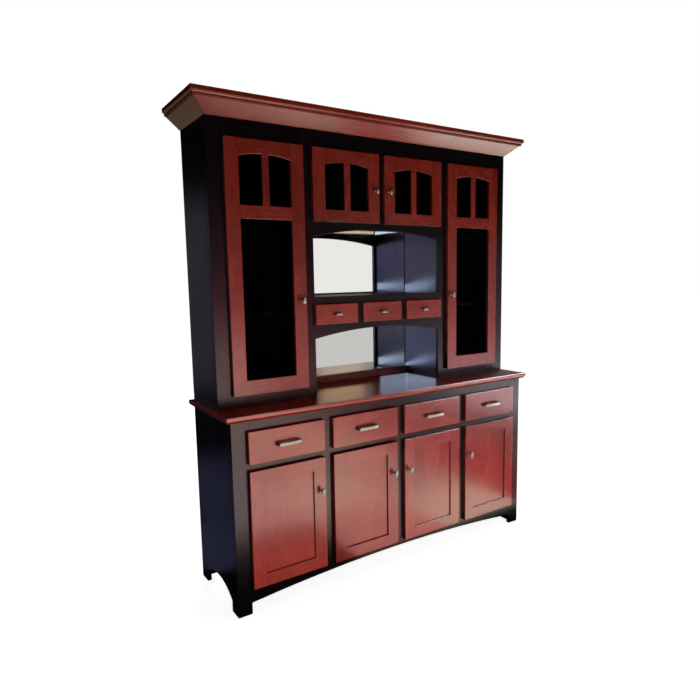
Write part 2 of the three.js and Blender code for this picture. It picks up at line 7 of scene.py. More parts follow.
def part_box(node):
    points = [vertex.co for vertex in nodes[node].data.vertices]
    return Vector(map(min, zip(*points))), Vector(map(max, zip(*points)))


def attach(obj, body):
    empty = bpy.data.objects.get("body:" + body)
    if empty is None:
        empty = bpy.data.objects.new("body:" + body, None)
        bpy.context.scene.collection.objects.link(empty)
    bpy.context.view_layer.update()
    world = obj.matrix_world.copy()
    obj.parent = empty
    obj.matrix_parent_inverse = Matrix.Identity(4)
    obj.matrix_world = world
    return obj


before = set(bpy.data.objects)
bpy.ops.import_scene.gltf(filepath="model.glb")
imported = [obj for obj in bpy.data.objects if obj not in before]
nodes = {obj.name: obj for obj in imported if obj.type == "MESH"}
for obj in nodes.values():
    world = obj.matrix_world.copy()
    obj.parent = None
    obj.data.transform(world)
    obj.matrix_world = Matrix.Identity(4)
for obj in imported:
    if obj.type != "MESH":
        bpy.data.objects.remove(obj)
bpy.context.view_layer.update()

# A dining dresser in two stages. The front faces -Y. Lengths are metres, and millimetres in the
# dictionaries of the hinges, shelves and beads.
allPieces = dict(nodes)  # the CAD nodes, and later what this script adds to them
mm = 0.001
print("loaded", len(nodes), "CAD nodes")


# Shader helpers

class Value:  # a number that changes over a surface, so that shader maths reads as plain maths
    def __init__(self, paint, socket):
        self.paint = paint
        self.socket = socket

    def __add__(self, other):
        return self.paint.maths("ADD", self, other)

    def __radd__(self, other):
        return self.paint.maths("ADD", other, self)

    def __sub__(self, other):
        return self.paint.maths("SUBTRACT", self, other)

    def __rsub__(self, other):
        return self.paint.maths("SUBTRACT", other, self)

    def __mul__(self, other):
        return self.paint.maths("MULTIPLY", self, other)

    def __rmul__(self, other):
        return self.paint.maths("MULTIPLY", other, self)

    def __gt__(self, other):
        return self.paint.maths("GREATER_THAN", self, other)

    def __lt__(self, other):
        return self.paint.maths("LESS_THAN", self, other)

    def __and__(self, other):
        return self.paint.maths("MINIMUM", self, other)

    def __rand__(self, other):
        return self.paint.maths("MINIMUM", other, self)

    def __or__(self, other):
        return self.paint.maths("MAXIMUM", self, other)

    def __ror__(self, other):
        return self.paint.maths("MAXIMUM", other, self)


class Paint:  # one node tree and the few kinds of node that this dresser needs
    def __init__(self, tree):
        self.tree = tree
        tree.nodes.clear()

    def node(self, kind, settings=None, inputs=None):
        made = self.tree.nodes.new("ShaderNode" + kind)
        for name, setting in (settings or {}).items():
            if name == "stops":
                self.setStops(made.color_ramp, setting)
            else:
                setattr(made, name, setting)
        for name, value in (inputs or {}).items():
            self.feed(made.inputs[name], value)
        return made

    def feed(self, socket, value):
        if isinstance(value, Value):
            value = value.socket
        if isinstance(value, bpy.types.NodeSocket):
            self.tree.links.new(value, socket)
        else:
            socket.default_value = value

    def setStops(self, ramp, stops):
        while len(ramp.elements) < len(stops):
            ramp.elements.new(0.5)
        for element, (place, colour) in zip(ramp.elements, stops):
            element.position = place
            element.color = rgba(colour)

    def maths(self, operation, first, second=0.0, third=0.0):
        made = self.node("Math", {"operation": operation}, {0: first, 1: second, 2: third})
        return Value(self, made.outputs[0])

    def remap(self, value, fromLow, fromHigh, toLow=0.0, toHigh=1.0):
        made = self.node("MapRange", {"interpolation_type": "SMOOTHSTEP"}, {
            "Value": value, "From Min": fromLow, "From Max": fromHigh,
            "To Min": toLow, "To Max": toHigh})
        return Value(self, made.outputs[0])

    def near(self, value, place, reach):  # 1 within reach of a place, 0 elsewhere
        return self.maths("COMPARE", value, place, reach)

    def within(self, value, low, high):  # 1 between low and high, 0 elsewhere
        return self.maths("COMPARE", value, (low + high) / 2, (high - low) / 2)

    def axes(self, vector):
        made = self.node("SeparateXYZ", None, {0: vector})
        return [Value(self, socket) for socket in made.outputs]

    def vector(self, x, y, z):
        return self.node("CombineXYZ", None, {0: x, 1: y, 2: z}).outputs[0]

    def alongZ(self, vector, share):  # a share below 1 draws a pattern out along Z
        made = self.node("VectorMath", {"operation": "MULTIPLY"}, {0: vector, 1: (1, 1, share)})
        return made.outputs[0]

    def noise(self, vector, scale, detail=2.0, roughness=0.5, distortion=0.0):
        made = self.node("TexNoise", None, {
            "Vector": vector, "Scale": scale, "Detail": detail,
            "Roughness": roughness, "Distortion": distortion})
        return Value(self, made.outputs["Fac"])

    def mixVector(self, factor, first, second):
        made = self.node("Mix", {"data_type": "VECTOR"}, {0: factor, 4: first, 5: second})
        return made.outputs[1]

    def mixColour(self, factor, first, second):
        made = self.node("Mix", {"data_type": "RGBA"}, {0: factor, 6: first, 7: second})
        return made.outputs[2]

    def ramp(self, value, stops):
        return self.node("ValToRGB", {"stops": stops}, {0: value}).outputs[0]

    def bump(self, height, distance=1.0):
        return self.node("Bump", None, {"Height": height, "Distance": distance,
                                        "Strength": 1.0}).outputs[0]

    def place(self):  # a point's place on the piece, which moves with the piece
        return self.node("TexCoord").outputs["Object"]


def rgba(colour):
    return (*colour, 1.0)


def newMaterial(name, shown):
    material = bpy.data.materials.new(name)
    material.use_nodes = True
    paint = Paint(material.node_tree)
    shader = paint.node("BsdfPrincipled")
    paint.node("OutputMaterial", None, {"Surface": shader.outputs[0]})
    material.diffuse_color = rgba(shown)
    return material, paint, shader


def dress(node, material):
    data = nodes[node].data
    data.materials.clear()
    data.materials.append(material)


# Wood. Grain runs along each board: a frame's stiles run its full height, and its rails lie
# between them.

woods = {
    "cherry": {
        "stops": [(0.18, (0.11, 0.0062, 0.0021)), (0.45, (0.225, 0.0156, 0.0049)),
                  (0.62, (0.29, 0.0234, 0.0077)), (0.85, (0.38, 0.0405, 0.014))],
        "fibre": 0.24, "streak": 0.2, "figure": 0.5, "mottle": 0.3, "plank": 0.1,
        "roughness": 0.27, "specular": 0.5, "coat": 0.12, "coatRoughness": 0.14,
        "grainHeight": 0.00005},
    "ebony": {
        "stops": [(0.25, (0.0014, 0.0012, 0.0015)), (0.5, (0.0029, 0.0024, 0.0031)),
                  (0.8, (0.0063, 0.0049, 0.0063))],
        "fibre": 0.35, "streak": 0.4, "figure": 0.4, "mottle": 0.2,
        "roughness": 0.27, "specular": 0.35, "coat": 0.0, "coatRoughness": 0.2,
        "grainHeight": 0.00008},
    "birch": {
        "stops": [(0.2, (0.36, 0.22, 0.11)), (0.5, (0.53, 0.36, 0.2)), (0.8, (0.64, 0.48, 0.3))],
        "fibre": 0.35, "streak": 0.6, "figure": 0.35, "mottle": 0.1,
        "roughness": 0.48, "specular": 0.5, "coat": 0.0, "coatRoughness": 0.3,
        "grainHeight": 0.00004},
}
# Layers of the grain. The smaller "drawn", the longer a layer's streaks along the board
grain = {
    "fibre": {"drawn": 0.016, "scale": 820, "detail": 2.0, "roughness": 0.6, "distortion": 0.0},
    "streak": {"drawn": 0.03, "scale": 70, "detail": 3.0, "roughness": 0.55, "distortion": 0.35},
    "figure": {"drawn": 0.4, "scale": 8.0, "detail": 2.0, "roughness": 0.5, "distortion": 0.6},
    "mottle": {"drawn": 0.7, "scale": 34, "detail": 2.0, "roughness": 0.55, "distortion": 0.0},
}
plank = {"width": 0.092, "shift": 0.3}
joint = {"half": 0.00035, "mitreHalf": 0.00049, "tint": (0.012, 0.004, 0.004), "strength": 0.65,
         "depth": 0.0002}
lacquer = {"figure": 0.10, "fibre": 0.05,  # how much the grain shows in the gloss
           "turn": (0.7, 0.95), "duller": 0.1, "smoother": 0.15,  # ebony, on top and underneath
           "peelScale": 260, "peelDetail": 1.0, "peelHeight": 0.000012}


def boardPlace(paint, run, stiles, rails, mitre):  # coordinates with Z along the grain, and joints
    here = paint.place()
    x, y, z = paint.axes(here)
    along = {"x": paint.vector(z, y, x), "y": paint.vector(x, z, y), "z": here}
    if mitre:  # past the mitre the end boards run front to back
        halfWidth, frontFace = mitre
        past = paint.maths("ABSOLUTE", x) - halfWidth - frontFace + y
        seam = paint.near(past, 0, joint["mitreHalf"])
        return paint.mixVector(past > 0, along["x"], along["y"]), seam
    if not rails:
        return along[run], None
    half = joint["half"]
    inRail = inStile = seam = 0.0
    for low, high in rails:
        inRail = paint.within(z, low, high) | inRail
    for low, high in stiles:
        inStile = paint.within(x, low, high) | inStile
        seam = paint.near(x, low, half) | paint.near(x, high, half) | seam
    seam = seam & inRail
    between = 1 - inStile
    for low, high in rails:
        edge = paint.near(z, low, half) | paint.near(z, high, half)
        seam = (edge & between) | seam
    return paint.mixVector(inRail * between, along["z"], along["x"]), seam


def grainLayer(paint, coords, layer):
    look = grain[layer]
    return paint.noise(paint.alongZ(coords, look["drawn"]), look["scale"], look["detail"],
                       look["roughness"], look["distortion"])


def woodMaterial(name, kind, run="z", stiles=(), rails=(), mitre=None, planked=False,
                 frontBack=None, **changes):
    wood = {**woods[kind], **changes}
    material, paint, shader = newMaterial(name, wood["stops"][1][1])
    coords, seam = boardPlace(paint, run, stiles, rails, mitre)
    layers = {layer: grainLayer(paint, coords, layer) for layer in grain}
    tone = 0.5
    for layer, noise in layers.items():
        tone = tone + (noise - 0.5) * wood[layer]
    if planked:  # boards glued edge to edge differ a little
        across = paint.axes(coords)[0] * (1 / plank["width"]) + plank["shift"]
        number = paint.maths("FLOOR", across)
        chance = paint.node("TexWhiteNoise", {"noise_dimensions": "1D"}, {"W": number})
        tone = tone + (Value(paint, chance.outputs["Value"]) - 0.5) * wood["plank"]
    colour = paint.ramp(tone, wood["stops"])
    roughness = wood["roughness"] + (layers["figure"] - 0.5) * lacquer["figure"]
    roughness = roughness + (layers["fibre"] - 0.5) * lacquer["fibre"]
    if kind == "ebony":  # rubbed smoother underneath, duller on top
        up = paint.axes(paint.node("NewGeometry").outputs["Normal"])[2]
        low, high = lacquer["turn"]
        roughness = roughness + paint.remap(up, low, high) * lacquer["duller"]
        roughness = roughness - paint.remap(up, -low, -high) * lacquer["smoother"]
    height = layers["fibre"] * wood["grainHeight"]
    if frontBack is not None:  # a drawer is stained in front and plain birch behind its front
        plain = woods["birch"]
        behind = paint.axes(paint.place())[1] > frontBack
        colour = paint.mixColour(behind, colour, paint.ramp(tone, plain["stops"]))
        roughness = roughness + behind * (plain["roughness"] - wood["roughness"])
    if seam is not None:
        colour = paint.mixColour(seam * joint["strength"], colour, rgba(joint["tint"]))
        height = height - seam * joint["depth"]
    peel = paint.noise(paint.place(), lacquer["peelScale"], lacquer["peelDetail"])
    height = height + peel * lacquer["peelHeight"]
    paint.feed(shader.inputs["Base Color"], colour)
    paint.feed(shader.inputs["Roughness"], roughness)
    paint.feed(shader.inputs["Normal"], paint.bump(height))
    shader.inputs["Coat Weight"].default_value = wood["coat"]
    shader.inputs["Coat Roughness"].default_value = wood["coatRoughness"]
    shader.inputs["Specular IOR Level"].default_value = wood["specular"]
    return material


# Eased edges, in metres. A CAD board is first cleaned of the spare edges on its flat faces

edges = {"case": 0.0012, "front": 0.0022, "glazed": 0.0016, "panel": 0.0005, "counter": 0.0018,
         "crown": 0.0016, "shelf": 0.0012, "hinge": 0.0003}
easing = {"segments": 2, "merge": 0.00001, "flat": 0.5,
          "angle": 32, "crownAngle": 30, "addedAngle": 35}


def weldMesh(piece):
    weld = piece.modifiers.new("weld", "WELD")
    weld.merge_threshold = easing["merge"]


def easeEdges(piece, width, angle=easing["angle"], fromCad=True):
    if fromCad:
        weldMesh(piece)
        flat = piece.modifiers.new("flat", "DECIMATE")
        flat.decimate_type = "DISSOLVE"
        flat.angle_limit = math.radians(easing["flat"])
    bevel = piece.modifiers.new("ease", "BEVEL")
    bevel.width = width
    bevel.segments = easing["segments"]
    bevel.limit_method = "ANGLE"
    bevel.angle_limit = math.radians(angle)
    weighted = piece.modifiers.new("shade", "WEIGHTED_NORMAL")
    weighted.keep_sharp = True
    for face in piece.data.polygons:
        face.use_smooth = True


# Camera, at the photograph's viewing angle

camera = {"place": (-1.678, -2.3498, 1.401), "turn": 33.129, "tilt": -7.0896, "roll": -1.0401,
          "lens": 29.758, "sensor": 36, "clip": (0.05, 60)}


def addCamera():
    turn, tilt, roll = (math.radians(camera[key]) for key in ("turn", "tilt", "roll"))
    ahead = Vector((math.sin(turn) * math.cos(tilt), math.cos(turn) * math.cos(tilt),
                    math.sin(tilt)))
    right = ahead.cross(Vector((0, 0, 1))).normalized()
    up = right.cross(ahead)
    rolledRight = right * math.cos(roll) + up * math.sin(roll)
    rolledUp = up * math.cos(roll) - right * math.sin(roll)
    data = bpy.data.cameras.new("camera")
    data.lens = camera["lens"]
    data.sensor_width = camera["sensor"]
    data.clip_start, data.clip_end = camera["clip"]
    eye = bpy.data.objects.new("camera", data)
    stand = Matrix((rolledRight, rolledUp, -ahead)).transposed().to_4x4()
    stand.translation = Vector(camera["place"])
    eye.matrix_world = stand
    bpy.context.scene.collection.objects.link(eye)
    bpy.context.scene.camera = eye


addCamera()
print("camera placed")

# Wood on the CAD boards

overlay = {"door": 0.012, "nicheDrawer": 0.005}  # how far a front laps over its face frame
hutchFrame = {"nicheEdge": 0.3707, "upperNicheTop": 1.5873, "upperNicheSill": 1.318,
              "lowerNicheTop": 1.127}
counter = {"roughness": 0.24, "coat": 0.3}  # polished more than the fronts
uprightBoards = ("base_side_left", "base_side_right", "base_back_panel", "base_partition",
                 "hutch_side_left", "hutch_side_right", "niche_wall_left", "niche_wall_right",
                 "hutch_back_panel")
levelBoards = ("base_floor", "upper_cabinet_floor", "niche_drawer_case",
               "tall_cabinet_floor_left", "tall_cabinet_floor_right")


def dressBaseFrame():
    frameLow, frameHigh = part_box("base_face_frame")
    doorLow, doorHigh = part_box("base_door_1_frame")
    drawerLow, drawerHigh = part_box("base_drawer_1")
    lap = overlay["door"]
    stile = doorLow.x + lap - frameLow.x
    dress("base_face_frame", woodMaterial(
        "ebonyBaseFrame", "ebony",
        stiles=[(frameLow.x, frameLow.x + stile), (frameHigh.x - stile, frameHigh.x)],
        rails=[(frameLow.z, doorLow.z + lap), (doorHigh.z - lap, drawerLow.z + lap),
               (drawerHigh.z - lap, frameHigh.z)]))


def dressHutchFrame():
    frameLow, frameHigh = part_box("hutch_face_frame")
    tallLow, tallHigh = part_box("tall_door_left_frame")
    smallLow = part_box("small_door_left_frame")[0]
    drawerLow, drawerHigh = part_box("niche_drawer_1")
    lap, drawerLap = overlay["door"], overlay["nicheDrawer"]
    outer = (frameLow.x, tallLow.x + lap)
    inner = (tallHigh.x - lap, -hutchFrame["nicheEdge"])
    dress("hutch_face_frame", woodMaterial(
        "ebonyHutchFrame", "ebony",
        stiles=[outer, inner, (-inner[1], -inner[0]), (-outer[1], -outer[0])],
        rails=[(frameLow.z, tallLow.z + lap), (tallHigh.z - lap, frameHigh.z),
               (hutchFrame["upperNicheTop"], smallLow.z + lap),
               (drawerHigh.z - drawerLap, hutchFrame["upperNicheSill"]),
               (hutchFrame["lowerNicheTop"], drawerLow.z + drawerLap)]))


def dressCase():
    dressBaseFrame()
    dressHutchFrame()
    upright = woodMaterial("ebonyUpright", "ebony")
    level = woodMaterial("ebonyLevel", "ebony", run="x")
    for node in uprightBoards:
        dress(node, upright)
    for node in levelBoards:
        dress(node, level)
    dress("base_drawer_deck", woodMaterial("birchLevel", "birch", run="x"))
    dress("mirror_rail", woodMaterial("cherryLevel", "cherry", run="x"))
    dress("countertop", woodMaterial("cherryCounter", "cherry", run="x", **counter))
    mitre = (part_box("base_face_frame")[1].x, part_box("hutch_face_frame")[0].y)
    crownWood = woodMaterial("cherryCrown", "cherry", mitre=mitre)
    for node in ("crown_board", "crown_cap"):
        dress(node, crownWood)
        easeEdges(nodes[node], edges["crown"], easing["crownAngle"])
    for node in uprightBoards + levelBoards + ("base_face_frame", "hutch_face_frame",
                                               "base_drawer_deck", "mirror_rail"):
        easeEdges(nodes[node], edges["case"])
    easeEdges(nodes["countertop"], edges["counter"])


baseDoor = {"stile": 0.061, "rail": 0.056}
glazedDoor = {"stile": 0.0625, "topRail": 0.071, "bottomRail": 0.064, "middleRail": 0.056,
              "upperPane": 1.7077}  # the height at which the arched lights start
glazedDoors = ("tall_door_left", "tall_door_right", "small_door_left", "small_door_right")


def dressFrame(node, name, stile, rails):
    low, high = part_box(node)
    dress(node, woodMaterial(name, "cherry", rails=rails,
                             stiles=[(low.x, low.x + stile), (high.x - stile, high.x)]))


def dressDoors():
    panelWood = woodMaterial("cherryUpright", "cherry", planked=True)
    for number in range(1, 5):
        door = f"base_door_{number}"
        low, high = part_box(f"{door}_frame")
        rail = baseDoor["rail"]
        dressFrame(f"{door}_frame", f"cherryBaseDoor{number}", baseDoor["stile"],
                   [(low.z, low.z + rail), (high.z - rail, high.z)])
        dress(f"{door}_panel", panelWood)
        easeEdges(nodes[f"{door}_frame"], edges["front"])
        easeEdges(nodes[f"{door}_panel"], edges["panel"])
    for door in glazedDoors:
        low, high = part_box(f"{door}_frame")
        pane = glazedDoor["upperPane"]
        rails = [(high.z - glazedDoor["topRail"], high.z)]
        if door.startswith("tall"):
            rails += [(low.z, low.z + glazedDoor["bottomRail"]),
                      (pane - glazedDoor["middleRail"], pane)]
        else:
            rails += [(low.z, pane)]
        dressFrame(f"{door}_frame", f"cherry_{door}", glazedDoor["stile"], rails)
        easeEdges(nodes[f"{door}_frame"], edges["glazed"])


drawer = {"frontStock": 0.019, "clear": 0.0002}  # the stain ends just behind the front
baseDrawers = tuple(f"base_drawer_{number}" for number in range(1, 5))
nicheDrawers = tuple(f"niche_drawer_{number}" for number in range(1, 4))


def dressDrawers():
    for name in baseDrawers + nicheDrawers:
        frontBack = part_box(name)[0].y + drawer["frontStock"] + drawer["clear"]
        dress(name, woodMaterial(f"drawer_{name}", "cherry", run="x", frontBack=frontBack))
        easeEdges(nodes[name], edges["front"])


dressCase()
dressDoors()
dressDrawers()
print("wood dressed")

# Glass, mirror and metal

glass = {"tint": (0.0015, 0.0015, 0.002), "alpha": 0.22, "roughness": 0.015, "specular": 0.16,
         "smearScale": 14, "smear": 0.03}
mirror = {"tint": (0.93, 0.935, 0.93), "roughness": 0.012, "hazeScale": 5, "haze": 0.012}
nickel = {"shown": (0.26, 0.24, 0.215), "dark": (0.21, 0.19, 0.17), "light": (0.33, 0.31, 0.28),
          "stainScale": 120, "roughness": 0.27, "brushedScale": 1900, "drawn": 0.05,
          "brushed": 0.12, "brushedHeight": 0.00002, "levels": 2}


def dressGlass():
    material, paint, shader = newMaterial("cabinetGlass", glass["tint"])
    smear = paint.noise(paint.place(), glass["smearScale"])
    paint.feed(shader.inputs["Roughness"], glass["roughness"] + smear * glass["smear"])
    shader.inputs["Base Color"].default_value = rgba(glass["tint"])
    shader.inputs["Alpha"].default_value = glass["alpha"]
    shader.inputs["Specular IOR Level"].default_value = glass["specular"]
    for door in glazedDoors:
        dress(f"{door}_glass", material)


def dressMirror():
    material, paint, shader = newMaterial("silverMirror", mirror["tint"])
    haze = paint.noise(paint.place(), mirror["hazeScale"])
    paint.feed(shader.inputs["Roughness"], mirror["roughness"] + haze * mirror["haze"])
    shader.inputs["Base Color"].default_value = rgba(mirror["tint"])
    shader.inputs["Metallic"].default_value = 1.0
    dress("mirror", material)


def dressHardware():
    material, paint, shader = newMaterial("satinNickel", nickel["shown"])
    here = paint.place()
    brushed = paint.noise(paint.alongZ(here, nickel["drawn"]), nickel["brushedScale"])
    stain = paint.noise(here, nickel["stainScale"])
    paint.feed(shader.inputs["Base Color"], paint.mixColour(
        stain, rgba(nickel["dark"]), rgba(nickel["light"])))
    paint.feed(shader.inputs["Roughness"],
               nickel["roughness"] + (brushed - 0.5) * nickel["brushed"])
    paint.feed(shader.inputs["Normal"], paint.bump(brushed, nickel["brushedHeight"]))
    shader.inputs["Metallic"].default_value = 1.0
    for node in nodes:
        if node.endswith(("_knob", "_pull")):
            dress(node, material)
            weldMesh(nodes[node])
            smooth = nodes[node].modifiers.new("round", "SUBSURF")
            smooth.levels = smooth.render_levels = nickel["levels"]


dressGlass()
dressMirror()
dressHardware()
print("glass, mirror and hardware dressed")

# Pieces that only the scene has: beads at the mirror's edges, cup hinges, loose shelves on pins

rodSides = 12

def addPiece(name, mesh, place, body, material):
    piece = bpy.data.objects.new(name, mesh)
    piece.location = place
    bpy.context.scene.collection.objects.link(piece)
    if not mesh.materials:
        mesh.materials.append(material)
    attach(piece, body)
    allPieces[name] = piece
    return piece


def finishMesh(name, shape):  # shapes are drawn in millimetres
    bmesh.ops.recalc_face_normals(shape, faces=shape.faces)
    mesh = bpy.data.meshes.new(name)
    shape.to_mesh(mesh)
    shape.free()
    mesh.transform(Matrix.Scale(mm, 4))
    return mesh


def circle(radius, sides, centre):
    turns = [2 * math.pi * step / sides for step in range(sides)]
    return [(centre[0] + radius * math.cos(turn), centre[1] + radius * math.sin(turn))
            for turn in turns]


def joinOutlines(shape, first, second):  # two outlines with as many corners, closed at both ends
    lower = [shape.verts.new(corner) for corner in first]
    upper = [shape.verts.new(corner) for corner in second]
    shape.faces.new(lower)
    shape.faces.new(upper[::-1])
    for step in range(len(lower)):
        after = (step + 1) % len(lower)
        shape.faces.new((lower[step], upper[step], upper[after], lower[after]))


def cutBoard(shape, outline, low, high):  # an outline of (x, y) with its thickness along Z
    joinOutlines(shape, [(x, y, low) for x, y in outline], [(x, y, high) for x, y in outline])


def cutRod(shape, centre, radius, start, end):  # a round rod along X, its centre given as (y, z)
    ring = circle(radius, rodSides, centre)
    joinOutlines(shape, [(start, y, z) for y, z in ring], [(end, y, z) for y, z in ring])


def turnRound(shape, profile, sides, centre):  # a profile of (radius, depth) turned round Y
    rings = []
    for radius, depth in profile:
        corners = circle(radius, sides, centre) if radius else [centre]
        rings.append([shape.verts.new((x, depth, z)) for x, z in corners])
    for first, second in zip(rings, rings[1:]):
        for step in range(sides):
            after = (step + 1) % sides
            corners = [first[step % len(first)], first[after % len(first)],
                       second[after % len(second)], second[step % len(second)]]
            shape.faces.new(list(dict.fromkeys(corners)))


bead = {"width": 2.6, "stock": 1.4, "chamfer": 0.6, "clear": 0.3}


def addMirrorEdges(wood):  # they close the corner between the mirror and the niche's walls
    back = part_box("mirror")[0].y / mm
    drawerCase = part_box("niche_drawer_case")
    levels = {"lower": (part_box("mirror_rail")[1].z, drawerCase[0].z),
              "upper": (drawerCase[1].z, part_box("upper_cabinet_floor")[0].z)}
    walls = {"left": (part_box("niche_wall_left")[1].x, 1),
             "right": (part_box("niche_wall_right")[0].x, -1)}
    for side, (wall, way) in walls.items():
        near, far = wall / mm, wall / mm + way * bead["width"]
        shoulder = wall / mm + way * bead["width"] * bead["chamfer"]
        front = back - bead["stock"]
        outline = [(near, back), (far, back), (far, back - bead["stock"] * bead["chamfer"]),
                   (shoulder, front), (near, front)]
        for level, (low, high) in levels.items():
            shape = bmesh.new()
            cutBoard(shape, outline, low / mm + bead["clear"], high / mm - bead["clear"])
            name = f"mirror_edge_{level}_{side}"
            addPiece(name, finishMesh(name, shape), (0, 0, 0), "case", wood)


hinge = {  # from the door's hanging edge and its front, and "heights" from the floor
    "heights": {"base": (204, 532), "tall": (1001, 1442.5, 1884), "small": (1744.7, 1884)},
    "frameEdge": {"base": 12, "tall": 12, "small": 5},
    "leftHung": ("base_door_1", "base_door_2", "tall_door_left", "small_door_left"),
    "cup": {"x": 22.5, "sides": 32, "profile": [
        (0, 7.95), (16.2, 7.95), (17.2, 8.95), (17.2, 18.55), (16.9, 18.85), (15.9, 18.85),
        (15.6, 18.55), (15, 10.95), (12.6, 9.35), (0, 9.35)]},
    "ear": {"x": (15.5, 30.5), "y": (19.02, 20), "z": (16.2, 27)},
    "earScrew": {"height": 22.5, "sides": 16, "profile": [
        (0, 20.9), (2.2, 20.8), (3.4, 20.1), (3.4, 19.9), (0, 19.9)]},
    "arm": {"start": 13.4, "reach": 21.5, "half": 5.5, "outline": [
        (0, 23.5), (0, 36), (7, 36), (17.5, 31), (21.5, 22), (21.5, 13), (18.5, 11), (11, 11),
        (9, 13.5), (10.5, 18.5), (8, 23.5)]},
    "plate": {"y": (21, 37), "half": 24, "stock": 1.4, "clear": 0.05},
    "plateScrew": {"height": 17, "radius": 3.2, "x": (-0.2, 1.2)},
}


def rectangle(left, right, near, far):
    return [(left, near), (right, near), (right, far), (left, far)]


def hingeCup(hand):  # it sits in the door's back, and its ears are screwed on
    shape = bmesh.new()
    cup, ear, screw = hinge["cup"], hinge["ear"], hinge["earScrew"]
    turnRound(shape, cup["profile"], cup["sides"], (hand * cup["x"], 0))
    left, right = sorted(hand * edge for edge in ear["x"])
    for way in (-1, 1):
        low, high = sorted(way * edge for edge in ear["z"])
        cutBoard(shape, rectangle(left, right, *ear["y"]), low, high)
        turnRound(shape, screw["profile"], screw["sides"],
                  ((left + right) / 2, way * screw["height"]))
    return finishMesh("hingeCup", shape)


def hingeArm(hand, frameEdge):  # it sits on the edge of the face frame
    shape = bmesh.new()
    arm, plate, screw = hinge["arm"], hinge["plate"], hinge["plateScrew"]
    start = frameEdge + plate["stock"]
    stretch = (arm["start"] + arm["reach"] - start) / arm["reach"]
    cutBoard(shape, [(hand * (start + x * stretch), y) for x, y in arm["outline"]],
             -arm["half"], arm["half"])
    left, right = sorted((hand * (frameEdge + plate["clear"]), hand * start))
    cutBoard(shape, rectangle(left, right, *plate["y"]), -plate["half"], plate["half"])
    middle = sum(plate["y"]) / 2
    for height in (-screw["height"], screw["height"]):
        cutRod(shape, (middle, height), screw["radius"],
               *(hand * (start + x) for x in screw["x"]))
    return finishMesh("hingeArm", shape)


def addHinges(metal):
    doors = [f"base_door_{number}" for number in range(1, 5)]
    for side in ("left", "right"):
        doors += [f"tall_door_{side}", f"small_door_{side}"]
    meshes = {}
    for door in doors:
        kind = door.split("_")[0]
        low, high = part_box(f"{door}_frame")
        hand = 1 if door in hinge["leftHung"] else -1
        frameEdge = hinge["frameEdge"][kind]
        if (hand, frameEdge) not in meshes:
            meshes[hand, frameEdge] = (hingeCup(hand), hingeArm(hand, frameEdge))
        cup, arm = meshes[hand, frameEdge]
        for index, height in enumerate(hinge["heights"][kind], 1):
            place = (low.x if hand > 0 else high.x, low.y, height * mm)
            for part, mesh, body in (("cup", cup, door), ("arm", arm, "case")):
                piece = addPiece(f"{door}_hinge_{part}_{index}", mesh, place, body,
                                 metal)
                easeEdges(piece, edges["hinge"], easing["addedAngle"], fromCad=False)


shelf = {"stock": 18, "gap": 1.5, "front": 34, "back": 2, "caseHalf": 831,
         "base": 372, "tall": (1240, 1598), "upper": 1834}
pin = {"radius": 2.5, "reach": 8, "inset": 38, "below": 2.6}


def addShelf(name, left, right, front, back, height, wood, metal):
    board = bmesh.new()
    gap = shelf["gap"]
    cutBoard(board, rectangle(left + gap, right - gap, front, back), 0, shelf["stock"])
    piece = addPiece(name, finishMesh(name, board), (0, 0, height * mm), "case",
                     wood)
    easeEdges(piece, edges["shelf"], easing["addedAngle"], fromCad=False)
    pins = bmesh.new()
    for y in (front + pin["inset"], back - pin["inset"]):
        for x, way in ((left, 1), (right, -1)):
            cutRod(pins, (y, 0), pin["radius"], x, x + way * pin["reach"])
    name = f"{name}_pins"
    addPiece(name, finishMesh(name, pins), (0, 0, (height - pin["below"]) * mm), "case",
             metal)


def addShelves(wood, metal):
    half = shelf["caseHalf"]
    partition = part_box("base_partition")
    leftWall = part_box("niche_wall_left")
    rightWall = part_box("niche_wall_right")
    baseFront, hutchFront = partition[0].y / mm, leftWall[0].y / mm
    rows = [("base_shelf_left", -half, partition[0].x / mm, baseFront, shelf["base"]),
            ("base_shelf_right", partition[1].x / mm, half, baseFront, shelf["base"])]
    for index, height in enumerate(shelf["tall"], 1):
        rows += [(f"tall_shelf_left_{index}", -half, leftWall[0].x / mm, hutchFront, height),
                 (f"tall_shelf_right_{index}", rightWall[1].x / mm, half, hutchFront, height)]
    rows.append(("upper_shelf", leftWall[1].x / mm, rightWall[0].x / mm, hutchFront,
                 shelf["upper"]))
    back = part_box("base_back_panel")[0].y / mm - shelf["back"]
    for name, left, right, front, height in rows:
        addShelf(name, left, right, front + shelf["front"], back, height, wood, metal)


hardwareMetal = bpy.data.materials["satinNickel"]
addMirrorEdges(bpy.data.materials["ebonyUpright"])
addHinges(hardwareMetal)
addShelves(bpy.data.materials["ebonyLevel"], hardwareMetal)
print("mirror beads, hinges and shelves fitted")

# Studio: a pale floor, a plain room round it and soft lights

